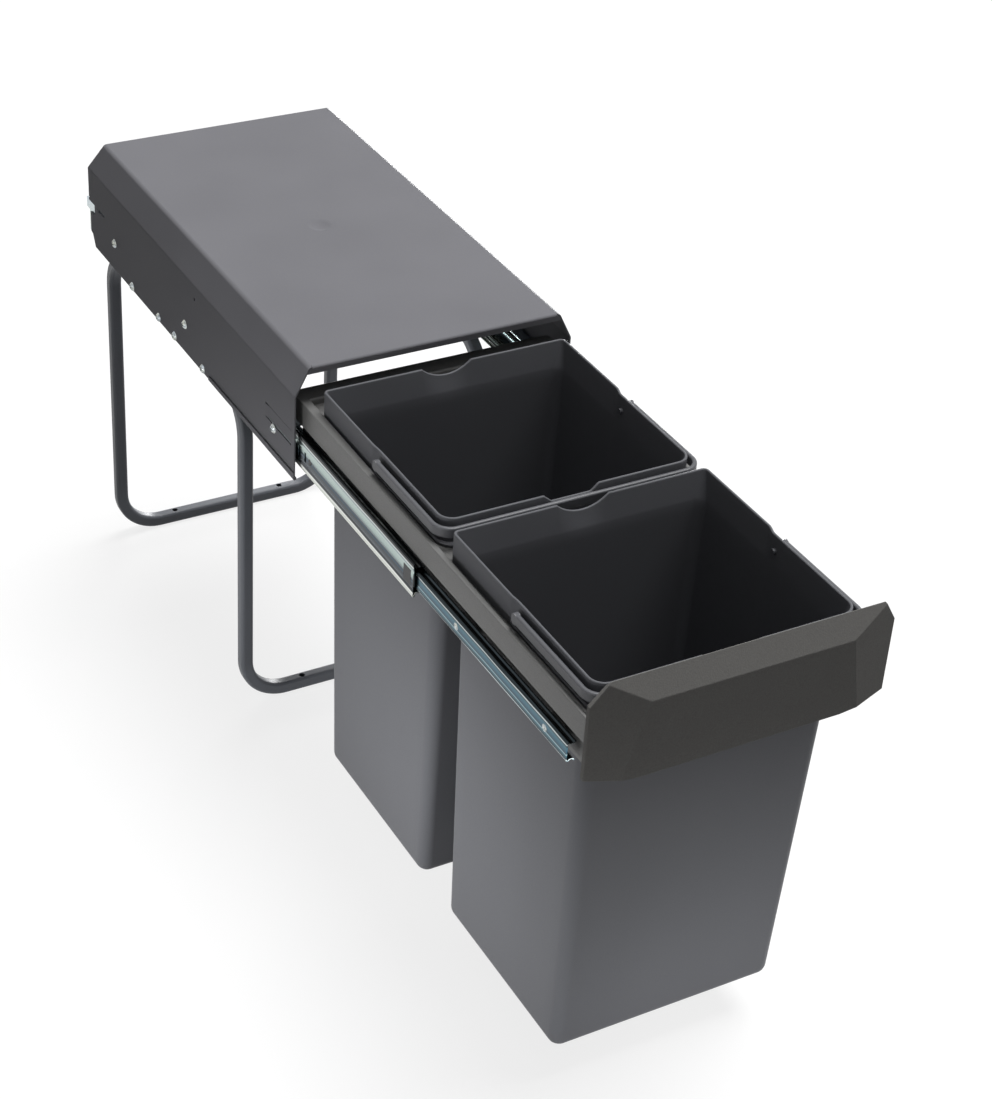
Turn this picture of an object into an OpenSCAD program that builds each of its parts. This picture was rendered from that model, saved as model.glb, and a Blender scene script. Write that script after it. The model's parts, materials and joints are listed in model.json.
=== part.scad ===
// Pull out bin frame: cover on two tube legs, ball slides, carrier, two bins with bails, front panel.
// Millimetres. Front is -Y, up is +Z, the origin is the centre of the four floor holes.
// Drawn with the drawer pulled fully out.

/* [Cover] */
// Width of the cover, outside
cover_w = 254; // [248:1:260]
// Length of the cover's top, front to back
cover_l = 446; // [444:1:450]
// Height of the cover's top above the floor
cover_h = 419; // [405:1:435]
// Sheet thickness of the cover
sheet_t = 1.2; // [1:0.1:1.4]
// Width of the sloping corner between top and side
chamfer_w = 12.7; // [11:0.1:15]
// Height of the sloping corner
chamfer_h = 25; // [20:0.5:30]
// Centre-line radius of the cover's bends
cover_bend = 4; // [3:0.5:6]
// Height of the cover's side, top to lower edge
side_h = 101; // [99:0.5:103]
// How far the sides run on behind the top
side_tail = 10; // [8:0.5:12]
// Height of the front lip
lip_h = 6.5; // [5:0.5:9]
// Height of the folded hem on the lower front edges
hem_h = 6.5; // [5:0.5:8]
// Length of the folded hem
hem_l = 172; // [150:1:176]
// Diameter of the round dimple in the top
dimple_d = 24; // [16:1:30]
// Depth of the dimple
dimple_in = 1; // [0.6:0.1:1.4]
// How far the cover reaches ahead of the front leg
overhang = 124; // [118:1:130]

/* [Legs] */
// Side of the square leg tube
tube_s = 12; // [11:0.5:13]
// Corner radius of the tube
tube_r = 3.5; // [2.5:0.25:4.5]
// Wall of the tube
tube_t = 1.5; // [1:0.1:2]
// Distance between the legs, front to back
leg_pitch = 306; // [300:1:312]
// Centre-line radius of the tube bends
tube_bend = 40; // [34:1:44]
// Reach of the front leg's top end behind its upright
front_reach = 138; // [134:1:142]
// Gap between the top ends of the two legs
run_gap = 13; // [8:1:18]
// Length of the bushes between tube and cover
bush_l = 4.8; // [4.2:0.1:5.4]
// Diameter of the bushes
bush_d = 9; // [8:0.5:10]
// Distance between the two screws of a tube end
leg_screw_pitch = 63; // [56:1:70]
// Distance between the two floor holes of a leg
foot_span = 116; // [100:1:130]
// Diameter of the floor holes
foot_d = 5.5; // [4.5:0.1:6.5]

/* [Slides] */
// Length of the outer rails
outer_l = 450; // [446:1:454]
// Length of the middle and the inner rails
rail_l = 440; // [436:1:444]
// Travel of the drawer
travel = 430; // [424:1:434]
// Sheet thickness of the outer rails
outer_t = 1.1; // [1:0.1:1.3]
// Sheet thickness of the middle and the inner rails
rail_t = 1; // [0.9:0.1:1.2]
// Diameter of the balls
ball_d = 4; // [3.6:0.1:4.4]
// Height of the outer ball rows above the slide's axis
ball_rise = 14; // [13.5:0.1:15]
// Balls in each row
row_balls = 6; // [4:1:8]
// Clearance of a ball in its races
race_gap = 0.15; // [0.12:0.01:0.2]
// Clearance between a cage and the rail beside it
web_gap = 0.35; // [0.3:0.01:0.45]
// Thickness of the ball cages
cage_t = 0.5; // [0.4:0.05:0.6]
// Length of the ball cages
cage_l = 182; // [170:1:190]

/* [Screws] */
// Shank diameter of the screws in the cover
screw_d = 4.8; // [4:0.1:5]
// Head diameter of the screws in the cover
head_d = 8.6; // [8:0.1:9]
// Head height of the screws in the cover
head_h = 2.6; // [2:0.1:3]
// Shank diameter of the small screws
small_d = 3; // [2.6:0.1:3.4]
// Radial clearance of the screws
screw_gap = 0.1; // [0.06:0.01:0.15]

/* [Carrier] */
// Height of the carrier's top above the slide's axis
carrier_rise = 40.6; // [39:0.1:42]
// Height of the carrier's sides
carrier_h = 52; // [48:0.5:54]
// Width of the band around the carrier's top
band_w = 2.4; // [2:0.1:3]
// Drop from the band to the ledge that the bins sit on
ledge_drop = 5.5; // [4.5:0.1:6.5]
// Width of the ledge along the sides
ledge_w = 4.1; // [3.8:0.1:4.5]
// Wall of the carrier
carrier_t = 3; // [2.5:0.1:3.5]
// Height of the side band above the recess that the slides run in
band_h = 24.5; // [22:0.5:27]
// Depth of that recess
recess_in = 4; // [3.5:0.1:4.2]
// Depth of the carrier's rear band, front to back
rear_band = 15; // [12:0.5:18]
// Gap from the rear band to the rear bin
rear_bay = 20; // [16:0.5:24]

/* [Bins] */
// Drop of the bins' rims below the cover's top
rim_drop = 14; // [12.5:0.1:16]
// Height of the bins
bin_h = 368; // [350:1:378]
// Distance between the two bins, front to back
bin_pitch = 218; // [216:1:222]
// Length of a bin's rim, front to back
bin_l = 195; // [190:1:197]
// Wall of the bins
bin_t = 2.2; // [1.8:0.1:2.6]
// Narrowing of a bin's side towards the bottom
side_taper = 7; // [6:0.5:9]
// Narrowing of a bin's front towards the bottom
front_taper = 14; // [8:0.5:20]
// Corner radius of the bins
bin_r = 12; // [10:0.5:14]
// Length of the high rear part of the rim
high_rim_l = 97; // [94:1:98]
// Drop from the high rim to the low rim
low_drop = 1; // [0.5:0.5:2]
// Length of the slant where the wall steps in for the bail
rim_slope = 10; // [6:0.5:12]
// Gap between a bin and the carrier's sides
bin_gap = 0.8; // [0.6:0.1:1]
// Gap between a bin and its ledge
seat_gap = 0.3; // [0.2:0.05:0.4]

/* [Bails] */
// Height of a bail's strip
bail_h = 8; // [7:0.5:9]
// Thickness of a bail's strip
bail_t = 4; // [3.6:0.1:4.2]
// Edge radius of a bail's strip
bail_edge = 1.7; // [1.2:0.1:1.8]
// Reach of a bail ahead of its bin's rear rim
bail_reach = 210; // [206:1:212]
// Distance of a bail's pivot from its bin's rear rim
pivot_y = 103; // [102:1:108]
// Drop of a bail's pivot below the high rim
pivot_drop = 13; // [12:0.1:14]
// Diameter of the pivot pins
pivot_d = 4.9; // [4.2:0.1:5.4]

/* [Panel] */
// Height of the panel's top above the cover's top
panel_rise = 3; // [1:0.5:5]
// Height of the panel
panel_h = 85; // [80:1:90]
// Width of the panel
panel_w = 249; // [244:1:254]
// Depth of the panel's proud face ahead of its edge
panel_proud = 9; // [7:0.5:12]
// Wall of the panel
panel_t = 2.5; // [2:0.1:3]

/* [Hidden] */
$fn = 48;
lap = 0.02;

// heights
side_z = cover_h - side_h;
tube_lift = 3.5;
rail_air = 0.6;
leg_z = side_z + tube_lift;
outer_half = ball_rise + ball_d / 2 + race_gap + outer_t;
slide_z = leg_z + tube_s / 2 + rail_air + outer_half;
carrier_z = slide_z + carrier_rise;
ledge_z = carrier_z - ledge_drop;
rim_z = cover_h - rim_drop;
low_z = rim_z - low_drop;
seat_z = ledge_z + seat_gap;
bin_z = rim_z - bin_h;
pivot_z = rim_z - pivot_drop;
panel_z = cover_h + panel_rise;

// widths, all measured from the middle
plate_x = cover_w / 2 - sheet_t;
leg_x = plate_x - bush_l - tube_s / 2;
hem_play = 0.15;
hem_r = sheet_t / 2 + hem_play;
flat_x = cover_w / 2 - chamfer_w;

// slide section: w from the cover's inner face towards the drawer, z from the slide's axis
race_r = ball_d / 2 + race_gap;
race_m = race_r + rail_t / 2;
hair_in = 0.125;
hair_r = rail_t / 2 + hair_in;
middle_w = outer_t + 2 * web_gap + cage_t + rail_t / 2;
inner_w = middle_w + rail_t + 2 * web_gap + cage_t;
split = 65.5;
ball_1 = [middle_w + 2 * hair_r + race_m, ball_rise];
ball_2 = ball_1 + 2 * race_m * [cos(split), -sin(split)];
outer_in = 0.65;
outer_w = ball_1[0] + ball_d;
cage_1 = outer_t + web_gap + cage_t / 2;
cage_2 = middle_w + rail_t / 2 + web_gap + cage_t / 2;
cage_1z = (ball_rise + hair_r + rail_t / 2 + outer_half - outer_t) / 2;
cage_lift = 0.12;
cage_2z = ball_2[1] + cage_lift;
cage_in = 0.35;
cage_bend = cage_t / 2 + cage_in;
cage_edge = 0.7;
ridge_in = 0.1;
ridge_r = rail_t / 2 + ridge_in;
ridge_a = 145;
slope_a = 57;
elbow_r = 0.8;
ridge = ball_2 - (race_m + ridge_r) * [cos(180 - ridge_a), sin(ridge_a)];
slope_l = (ridge[0] - ridge_r * sin(slope_a) - inner_w - elbow_r * (1 - sin(slope_a))) / cos(slope_a);
web_top = ridge[1] + (ridge_r - elbow_r) * cos(slope_a) - slope_l * sin(slope_a);
carrier_air = 0.45;
carrier_x = plate_x - ball_2[0] - race_m - rail_t / 2 - carrier_air;
step_x = carrier_x - band_w;
recess_x = carrier_x - recess_in;
open_x = step_x - ledge_w;
rim_x = step_x - bin_gap;
body_x = open_x - bin_gap;

// positions along the drawer
front_y = -leg_pitch / 2;
rear_y = leg_pitch / 2;
cover_y = front_y - overhang;
tail_y = cover_y + cover_l + side_tail;
outer_set = 8;
middle_set = 4;
inner_set = 5;
outer_y = cover_y + outer_set;
middle_y = outer_y + middle_set - travel / 2;
inner_y = outer_y - inner_set - travel;
cage_1y = (outer_y + middle_y + rail_l - cage_l) / 2;
cage_2y = (middle_y + inner_y + rail_l - cage_l) / 2;
carrier_set = 7;
carrier_y = inner_y + rail_l + carrier_set;
rear_bin_y = carrier_y - rear_band - rear_bay;
front_bin_y = rear_bin_y - bin_pitch;
bail_air = 8;
panel_edge = 6;
carrier_end = front_bin_y - bail_reach - bail_air;
panel_y = carrier_end - panel_edge;

// leg screws: distance behind the front upright and ahead of the rear one
rear_reach = leg_pitch - front_reach - run_gap;
screw_end = 12;
front_screws = [front_reach - screw_end - leg_screw_pitch, front_reach - screw_end];
rear_screws = [rear_reach - screw_end - leg_screw_pitch, rear_reach - screw_end];
// slide screws: distance behind the outer rail's front end, height above the slide's axis
slide_screw_at = [[32, -2], [218, 0], [384, 0]];
pad_y = [30, 160, 290, 410];
pad_l = 16;

// cover: front lip, hem, and the tongue pressed in from its side into the outer rail
lip_in = 1;
lip_end = 2.6;
top_end = 2;
hem_lead = 2.5;
hem_fall = 2;
hem_lap = 1;
tongue_l = 50;
tongue_h = 14;
tongue_in = 1.15;
tongue_ramp = 6;
tongue_lead = 2;
tongue_z = slide_z + 1;
slit = 2;
low_slit = 0.6;

// cover's rear edge: notch for the outer rail's hook, stepped edge below it, slot and peg hole above
hook_h = 11;
hook_l = 7;
hook_air = 0.6;
hook_z = slide_z + 5;
tail_notch = 14;
tail_step = 3;
tail_slope = 7;
tail_low = 15;
slot_back = 39;
slot_rise = 14;
slot_l = 15;
slot_h = 2.4;
peg_y = 204;
peg_rise = 35.5;
peg_d = 3;

// middle rail: window of the front bumper, stop button and two slots
stop_gap = 0.1;
window_y = 4;
window_l = 12;
window_h = 14;
nose_t = 1.1;
nose_h = 10;
nose_proud = 0.2;
button_y = 181;
button_d = 5.2;
web_slots = [188, 199];
web_slot_l = 3;
web_slot_h = 9;
groove_z = [-8, 0, 8];
groove_r = 6;
groove_in = 0.3;

// carrier and panel
plan_r = 8;
ledge_r = 5;
rib_h = 12;
open_front = 1;
open_rear = 4;
rail_screw_l = 7;
panel_screw_x = [-70, 70];
panel_screw_z = slide_z + 12;
panel_screw_l = 6;
panel_boss_d = 9;
cross_w = 1;
panel_gap = 0.1;
panel_in = 2.8;
shoulder_h = 18;
chin_h = 5;
bevel_h = 17.5;
face_lean = 4;
edge_y = 2;

// bins: rear wall behind the rim, front of the flange, notches; bail corners
bin_back = 5;
flange_l = 13;
flange_r = 3;
base_in = 2;
smile_w = 44;
smile_in = 9;
notch_w = 34;
notch_in = 6;
notch_slope = 7;
bail_r = 4;
cut = 1;

module wedge(r, a0, a1) {
  n = ceil((a1 - a0) / 45);
  step = (a1 - a0) / n;
  polygon(concat([[0, 0]], [for (i = [0:n]) 2 * r * [cos(a0 + step * i), sin(a0 + step * i)]]));
}

module arc_band(c, r, t, a0, a1) {
  translate(c)
    intersection() {
      difference() {
        circle(r + t / 2);
        circle(r - t / 2);
      }
      wedge(r + t, a0, a1);
    }
}

module strip(p, q, t) {
  d = q - p;
  translate(p)
    rotate(atan2(d[1], d[0]))
      translate([-lap, -t / 2])
        square([norm(d) + 2 * lap, t]);
}

module both_halves() {
  children();
  mirror([0, 1]) children();
}

module along_y(y0, l) {
  translate([0, y0 + l, 0])
    rotate([90, 0, 0])
      linear_extrude(l) children();
}

module along_x(x0, l) {
  translate([x0, 0, 0])
    rotate([90, 0, 90])
      linear_extrude(l) children();
}

module round_rect(x0, y0, x1, y1, r) {
  translate([x0 + r, y0]) square([x1 - x0 - 2 * r, y1 - y0]);
  translate([x0, y0 + r]) square([x1 - x0, y1 - y0 - 2 * r]);
  for (x = [x0 + r, x1 - r])
    for (y = [y0 + r, y1 - r])
      translate([x, y]) circle(r);
}

module mirrored_x() {
  children();
  mirror([1, 0, 0]) children();
}

module slide_section(y0, l) {
  along_y(y0, l)
    translate([-plate_x, slide_z]) children();
}

module cross_bore(y, z, d, x0, l) {
  translate([x0, y, z])
    rotate([0, 90, 0])
      cylinder(d = d, h = l);
}

module cover_section() {
  o = sheet_t / 2;
  a = atan2(chamfer_h, chamfer_w);
  p0 = [-cover_w / 2 + o, side_z];
  p1 = [-cover_w / 2 + o, cover_h - chamfer_h];
  p2 = [-flat_x + o * tan(a / 2), cover_h - o];
  d = (p2 - p1) / norm(p2 - p1);
  b = atan2(d[1], d[0]);
  t1 = cover_bend * tan((90 - b) / 2);
  t2 = cover_bend * tan(b / 2);
  c1 = [p1[0] + cover_bend, p1[1] - t1];
  c2 = [p2[0] + t2, p2[1] - cover_bend];
  strip(p0, [p1[0], p1[1] - t1], sheet_t);
  arc_band(c1, cover_bend, sheet_t, 90 + b, 180);
  strip(p1 + t1 * d, p2 - t2 * d, sheet_t);
  arc_band(c2, cover_bend, sheet_t, 90, 90 + b);
  strip([p2[0] + t2, p2[1]], [0, p2[1]], sheet_t);
}

module lip_section() {
  r = sheet_t / 2 + lip_in;
  y = cover_y + sheet_t / 2;
  strip([y, cover_h - lip_h], [y, cover_h - sheet_t / 2 - r], sheet_t);
  arc_band([y + r, cover_h - sheet_t / 2 - r], r, sheet_t, 90, 180);
}

module hem_section() {
  x = -cover_w / 2 + sheet_t / 2;
  z = side_z + hem_r + sheet_t / 2;
  arc_band([x - hem_r, z], hem_r, sheet_t, 180, 360);
  strip([x - 2 * hem_r, z], [x - 2 * hem_r, side_z + hem_h], sheet_t);
  strip([x, z], [x, z + hem_lap], sheet_t);
}

module tongue_section() {
  y = outer_y - tongue_lead;
  x0 = -plate_x - sheet_t;
  x1 = -plate_x;
  polygon([[x0 + tongue_in, y + tongue_lead], [x1 + tongue_in, y + tongue_lead],
    [x1 + tongue_in, y + tongue_l - tongue_ramp], [x1, y + tongue_l],
    [x1, y + tongue_l + cut], [x0, y + tongue_l + cut],
    [x0, y + tongue_l], [x0 + tongue_in, y + tongue_l - tongue_ramp]]);
}

// everything that is cut out of the cover's left side
module side_cuts() {
  x0 = -cover_w;
  w = cover_w - flat_x;
  // slanting rear end of the sloping corner
  along_x(x0, cover_w + cut)
    polygon([[cover_y + cover_l, cover_h + cut], [cover_y + cover_l, cover_h - 2 * sheet_t],
      [tail_y, cover_h - chamfer_h], [tail_y + cut, cover_h - chamfer_h], [tail_y + cut, cover_h + cut]]);
  // rear edge, with the notch for the rail's hook
  along_x(x0, w)
    polygon([[tail_y + cut, hook_z + hook_h], [tail_y - tail_notch, hook_z + hook_h],
      [tail_y - tail_notch, hook_z], [tail_y - tail_step, hook_z], [tail_y - tail_step, slide_z - tail_low],
      [tail_y - tail_slope, slide_z - tail_low - cut], [tail_y - tail_notch, side_z - cut],
      [tail_y + cut, side_z - cut]]);
  // slanting top of the hem
  along_x(x0, cover_w / 2 + lap)
    polygon([[cover_y - hem_lead - cut, side_z + hem_h],
      [cover_y + hem_l + cut, side_z + hem_h - hem_fall],
      [cover_y + hem_l + cut, side_z + hem_h + cut], [cover_y - hem_lead - cut, side_z + hem_h + cut]]);
  // window around the tongue, slot near the rear end
  translate([x0, outer_y - tongue_lead, tongue_z]) cube([w, tongue_l, tongue_h]);
  translate([x0, tail_y - slot_back, slide_z + slot_rise]) cube([w, slot_l, slot_h]);
  for (at = slide_screw_at)
    cross_bore(outer_y + at[0], slide_z + at[1], screw_d + 2 * screw_gap, x0, w);
  for (y = front_screws)
    cross_bore(front_y + y, leg_z, screw_d + 2 * screw_gap, x0, w);
  for (y = rear_screws)
    cross_bore(rear_y - y, leg_z, screw_d + 2 * screw_gap, x0, w);
  cross_bore(cover_y + peg_y, slide_z + peg_rise, peg_d, x0, w);
}

module cover_half() {
  hem_z = hem_r + sheet_t / 2;
  difference() {
    union() {
      difference() {
        along_y(cover_y, tail_y - cover_y) cover_section();
        translate([-cover_w, cover_y - cut, side_z - cut])
          cube([cover_w - flat_x, hem_l + cut, hem_z + cut]);
      }
      along_y(cover_y - hem_lead, hem_l + hem_lead) hem_section();
    }
    // top set back for the bend of the lip
    translate([-flat_x + top_end, cover_y - cut, cover_h - 2 * sheet_t])
      cube([flat_x, sheet_t + lip_in + cut, 3 * sheet_t]);
    side_cuts();
  }
  translate([0, 0, tongue_z + low_slit])
    linear_extrude(tongue_h - slit - low_slit) tongue_section();
  along_x(-flat_x + lip_end, flat_x - lip_end) lip_section();
}

module top_cover() {
  cap_r = (dimple_d * dimple_d / 4 + dimple_in * dimple_in) / (2 * dimple_in);
  dimple_z = cover_h + cap_r - dimple_in;
  color([0.23, 0.235, 0.245])
    difference() {
      union() {
        mirrored_x() cover_half();
        intersection() {
          translate([0, cover_y + cover_l / 2, dimple_z]) sphere(cap_r + sheet_t);
          translate([0, cover_y + cover_l / 2, cover_h - dimple_in - 2 * sheet_t])
            cylinder(d = dimple_d, h = dimple_in + 2 * sheet_t - lap);
        }
      }
      translate([0, cover_y + cover_l / 2, dimple_z]) sphere(cap_r);
    }
}

module tube_section() {
  h = tube_s / 2;
  i = h - tube_t;
  difference() {
    round_rect(-h, -h, h, h, tube_r);
    round_rect(-i, -i, i, i, tube_r - tube_t);
  }
}

module tube(l) {
  linear_extrude(l) tube_section();
}

module tube_elbow() {
  rotate_extrude(angle = 90)
    translate([tube_bend, 0]) tube_section();
}

// half a leg, on the left, its top end running towards +Y
module leg_half(reach, screws) {
  x0 = leg_x - tube_bend;
  z0 = tube_s / 2 + tube_bend;
  z1 = leg_z - tube_bend;
  translate([-x0, 0, tube_s / 2]) rotate([0, 90, 0]) tube(x0);
  translate([-x0, 0, z0]) rotate([-90, 0, 0]) rotate([0, 0, 90]) tube_elbow();
  translate([-leg_x, 0, z0]) tube(z1 - z0);
  translate([-leg_x, tube_bend, z1]) rotate([90, 0, -90]) tube_elbow();
  translate([-leg_x, tube_bend, leg_z]) rotate([-90, 0, 0]) tube(reach - tube_bend);
  for (y = screws)
    difference() {
      cross_bore(y, leg_z, bush_d, -plate_x, bush_l + tube_t / 2);
      cross_bore(y, leg_z, screw_d + 2 * screw_gap, -plate_x - 1, bush_l + tube_s);
    }
}

module leg(reach, screws) {
  color([0.2, 0.205, 0.215])
    difference() {
      mirrored_x() leg_half(reach, screws);
      for (x = [-foot_span / 2, foot_span / 2])
        translate([x, 0, -1]) cylinder(d = foot_d, h = tube_s + 2);
      for (y = screws)
        mirrored_x()
          cross_bore(y, leg_z, screw_d + 2 * screw_gap, -plate_x - 1, bush_l + tube_t + 2);
    }
}

module front_leg() {
  translate([0, front_y, 0]) leg(front_reach, front_screws);
}

module rear_leg() {
  translate([0, rear_y, 0]) mirror([0, 1, 0]) leg(rear_reach, rear_screws);
}

// pan head screw through the left side of the cover
module pan_screw(y, z, l) {
  r = (head_d * head_d / 4 + head_h * head_h) / (2 * head_h);
  x = -cover_w / 2;
  color([0.72, 0.74, 0.73]) {
    cross_bore(y, z, screw_d, x - lap, l + lap);
    difference() {
      intersection() {
        translate([x - head_h + r, y, z]) sphere(r);
        cross_bore(y, z, head_d, x - head_h - 1, head_h + 1);
      }
      for (a = [0, 90])
        translate([x - head_h - 1, y, z])
          rotate([a, 0, 0])
            translate([0, -head_d / 4, -cross_w / 2]) cube([1 + head_h * 0.6, head_d / 2, cross_w]);
    }
  }
}

module leg_screws() {
  l = sheet_t + bush_l + tube_t;
  mirrored_x() {
    for (y = front_screws) pan_screw(front_y + y, leg_z, l);
    for (y = rear_screws) pan_screw(rear_y - y, leg_z, l);
  }
}

module slide_screws() {
  mirrored_x()
    for (at = slide_screw_at) pan_screw(outer_y + at[0], slide_z + at[1], sheet_t + outer_t);
}

module outer_profile() {
  r = outer_t / 2 + outer_in;
  c = [outer_t / 2 + r, outer_half - outer_t / 2 - r];
  e = outer_w - outer_t / 2;
  strip([outer_t / 2, -c[1]], [outer_t / 2, c[1]], outer_t);
  both_halves() {
    arc_band(c, r, outer_t, 90, 180);
    strip([c[0], c[1] + r], [e - r, c[1] + r], outer_t);
    arc_band([e - r, c[1]], r, outer_t, 0, 90);
  }
}

module outer_rail() {
  color([0.74, 0.77, 0.76])
    difference() {
      union() {
        slide_section(outer_y, outer_l) outer_profile();
        // hook at the rear end
        translate([-plate_x, outer_y + outer_l - cut, hook_z])
          cube([outer_t, hook_l + cut, hook_h - hook_air]);
      }
      // front window for the cover's tongue
      translate([-plate_x - cut, outer_y - cut, tongue_z + low_slit - web_gap])
        cube([cut + outer_t, tongue_l + cut + tongue_lead, tongue_h - slit - low_slit + 2 * web_gap]);
      for (at = slide_screw_at)
        cross_bore(outer_y + at[0], slide_z + at[1], screw_d + 2 * screw_gap,
          -plate_x - cut, outer_t + 2 * cut);
    }
}

module middle_profile() {
  hair = [middle_w + hair_r, ball_rise];
  difference() {
    strip([middle_w, -ball_rise], [middle_w, ball_rise], rail_t);
    // drawn grooves along the outside of the web
    for (z = groove_z)
      translate([middle_w - rail_t / 2 + groove_in - groove_r, z]) circle(groove_r);
  }
  both_halves() {
    arc_band(hair, hair_r, rail_t, 0, 180);
    arc_band(ball_1, race_m, rail_t, 180, 360 - split);
    arc_band(ball_2, race_m, rail_t, 0, 180 - split);
  }
}

module middle_rail() {
  color([0.72, 0.76, 0.75])
    difference() {
      slide_section(middle_y, rail_l) middle_profile();
      // window of the front bumper, stop hole and two slots in the web
      cube_in_web(middle_y + window_y, window_l, window_h);
      cross_bore(middle_y + button_y, slide_z, button_d, -plate_x + middle_w - rail_t, 2 * rail_t);
      for (y = web_slots)
        cube_in_web(middle_y + y, web_slot_l, web_slot_h);
    }
}

module cube_in_web(y, l, h) {
  translate([-plate_x + middle_w - rail_t, y, slide_z - h / 2])
    cube([2 * rail_t, l, h]);
}

// plastic bumper in the front window, stop button and the pad on the middle rail's front end
module middle_stops() {
  x = -plate_x + middle_w - rail_t / 2;
  color([0.06, 0.06, 0.065]) {
    translate([x, middle_y + window_y + stop_gap, slide_z - window_h / 2 + stop_gap])
      cube([rail_t, window_l - 2 * stop_gap, window_h - 2 * stop_gap]);
    translate([x - nose_proud, middle_y - stop_gap - nose_t, slide_z - nose_h / 2])
      cube([rail_t + 2 * nose_proud, nose_t, nose_h]);
    cross_bore(middle_y + button_y, slide_z, button_d - 2 * stop_gap, x, rail_t);
  }
}

module inner_profile() {
  elbow = [inner_w + elbow_r, web_top];
  n = [sin(slope_a), -cos(slope_a)];
  strip([inner_w, -web_top], [inner_w, web_top], rail_t);
  both_halves() {
    arc_band(elbow, elbow_r, rail_t, 90 + slope_a, 180);
    strip(elbow - elbow_r * n, ridge - ridge_r * n, rail_t);
    arc_band(ridge, ridge_r, rail_t, 180 - ridge_a, 90 + slope_a);
    arc_band(ball_2, race_m, rail_t, 360 - ridge_a, 345);
  }
}

module inner_rail() {
  color([0.74, 0.78, 0.77])
    difference() {
      slide_section(inner_y, rail_l) inner_profile();
      for (y = pad_y)
        rail_countersink(inner_y + y, screw_gap);
    }
}

// countersunk head, flush with the outside of the inner rail's web
module rail_countersink(y, grow) {
  translate([-plate_x + inner_w - rail_t / 2, y, slide_z])
    rotate([0, 90, 0]) {
      cylinder(r1 = small_d + grow, r2 = small_d / 2 + grow, h = rail_t);
      translate([0, 0, rail_t / 2]) cylinder(r = small_d / 2 + grow, h = rail_t);
    }
}

module rail_screws() {
  color([0.7, 0.72, 0.71])
    mirrored_x()
      for (y = pad_y) {
        rail_countersink(inner_y + y, 0);
        cross_bore(inner_y + y, slide_z, small_d, -plate_x + inner_w, rail_screw_l);
      }
}

module outer_cage_profile() {
  z = cage_1z - cage_bend;
  strip([cage_1, -z], [cage_1, z], cage_t);
  both_halves() {
    arc_band([cage_1 + cage_bend, z], cage_bend, cage_t, 90, 180);
    strip([cage_1 + cage_bend, cage_1z], [ball_1[0] + ball_d * 0.6, cage_1z], cage_t);
  }
}

module inner_cage_profile() {
  z = cage_2z - cage_bend;
  strip([cage_2, -z], [cage_2, z], cage_t);
  both_halves() {
    arc_band([cage_2 + cage_bend, z], cage_bend, cage_t, 90, 180);
    strip([cage_2 + cage_bend, cage_2z], [ball_2[0] + cage_edge, cage_2z], cage_t);
  }
}

module ball_places(y0, c) {
  pitch = cage_l / row_balls;
  for (i = [0:row_balls - 1])
    for (s = [-1, 1])
      translate([-plate_x + c[0], y0 + (i + 0.5) * pitch, slide_z + s * c[1]])
        children();
}

module outer_cage() {
  color([0.62, 0.64, 0.63])
    difference() {
      slide_section(cage_1y, cage_l) outer_cage_profile();
      ball_places(cage_1y, ball_1)
        cylinder(r = ball_d * 0.4, h = ball_d * 1.2, center = true);
    }
}

module inner_cage() {
  color([0.62, 0.64, 0.63])
    difference() {
      slide_section(cage_2y, cage_l) inner_cage_profile();
      ball_places(cage_2y, ball_2)
        cylinder(r = race_r, h = ball_d, center = true);
    }
}

module balls(y0, c) {
  color([0.85, 0.86, 0.87])
    ball_places(y0, c) sphere(d = ball_d);
}

module carrier_plan() {
  round_rect(-carrier_x, carrier_end, carrier_x, carrier_y, plan_r);
}

module bin_opening(y) {
  round_rect(-open_x, y - bin_l - open_front, open_x, y - open_rear, bin_r);
}

// left wall: a band at the top, a shelf under it and a lower wall set back for the slide
module side_section() {
  z = carrier_z - carrier_h;
  band_z = carrier_z - band_h;
  r = band_w * 0.45;
  round_rect(-carrier_x, band_z, -step_x, carrier_z, r);
  translate([-step_x - r, band_z]) square([step_x + r - recess_x + carrier_t, carrier_t]);
  translate([-recess_x, z]) square([carrier_t, carrier_h - band_h + carrier_t]);
}

// outer walls, rounded along their tops; the rear one is a channel
module carrier_walls() {
  z = carrier_z - carrier_h;
  mirrored_x()
    along_y(carrier_end, carrier_y - carrier_end) side_section();
  along_x(-carrier_x, 2 * carrier_x) {
    difference() {
      round_rect(carrier_y - rear_band, z, carrier_y, carrier_z, carrier_t);
      translate([carrier_y - rear_band + carrier_t, z - 1])
        square([rear_band - 2 * carrier_t, carrier_h + 1 - carrier_t]);
    }
    round_rect(carrier_end, z, carrier_end + carrier_t, carrier_z, carrier_t * 0.4);
  }
}

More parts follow.
